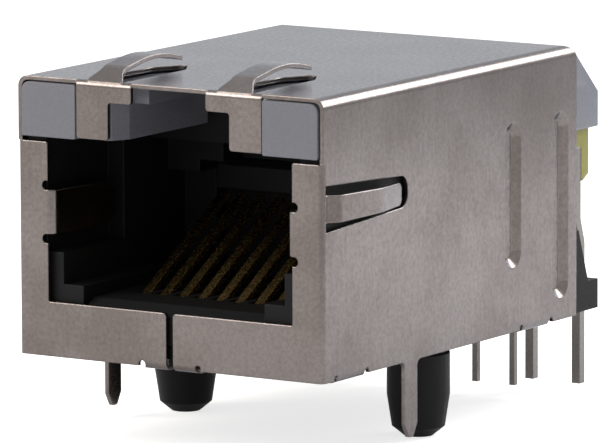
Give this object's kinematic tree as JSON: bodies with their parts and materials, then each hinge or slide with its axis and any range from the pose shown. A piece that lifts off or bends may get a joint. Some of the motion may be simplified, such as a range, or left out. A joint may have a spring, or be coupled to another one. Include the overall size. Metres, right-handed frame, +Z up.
{
  "type": "rj45 board jack",
  "caption": "Shielded right-angle board jack for a modular network plug, with sprung ground fingers, gold contacts, locating posts and clear light pipes fed by lamps behind.",
  "frame": {"origin": "midpoint between the two locating posts, in the top plane of the circuit board that the standoff pads rest on", "axes": "+X to the right seen from the port side, +Y from the port towards the rear of the jack, +Z up away from the circuit board"},
  "size_m": [0.0176, 0.0247, 0.0177],
  "materials": {
    "shield_sheet": "satin tin plate on folded sheet",
    "housing_moulding": "fine spark-eroded texture",
    "insert_moulding": "fine spark-eroded texture",
    "contact_gold": "gold plated, bright",
    "circuit_board": "solder resist",
    "ferrite": "sintered, dull",
    "copper_wire": "clear enamel over copper",
    "enamelled_wire": "red enamel over copper",
    "resistor": "glazed ceramic chip",
    "capacitor": "fired ceramic chip",
    "light_pipe": "clear moulding with a frosted front",
    "lamp_green": "tinted clear resin",
    "lamp_yellow": "tinted clear resin",
    "tinned_wire": "tin plated"
  },
  "bodies": {
    "root": {"shield": "shield_sheet", "housing": "housing_moulding", "contact_insert": "insert_moulding", "contact_1": "contact_gold", "contact_2": "contact_gold", "contact_3": "contact_gold", "contact_4": "contact_gold", "contact_5": "contact_gold", "contact_6": "contact_gold", "contact_7": "contact_gold", "contact_8": "contact_gold", "circuit_board": "circuit_board", "transformer_core_1": "ferrite", "transformer_core_2": "ferrite", "choke_core_1": "ferrite", "choke_core_2": "ferrite", "transformer_winding_1": "copper_wire", "transformer_winding_2": "copper_wire", "choke_winding_1": "enamelled_wire", "choke_winding_2": "enamelled_wire", "resistor_1": "resistor", "resistor_2": "resistor", "resistor_3": "resistor", "resistor_4": "resistor", "capacitor": "capacitor", "signal_pin_1": "tinned_wire", "signal_pin_2": "tinned_wire", "signal_pin_3": "tinned_wire", "signal_pin_4": "tinned_wire", "signal_pin_5": "tinned_wire", "signal_pin_6": "tinned_wire", "light_pipe_left": "light_pipe", "light_pipe_right": "light_pipe", "lamp_left": "lamp_green", "lamp_right": "lamp_yellow", "lamp_left_lead_1": "tinned_wire", "lamp_left_lead_2": "tinned_wire", "lamp_right_lead_1": "tinned_wire", "lamp_right_lead_2": "tinned_wire"}
  },
  "joints": []
}
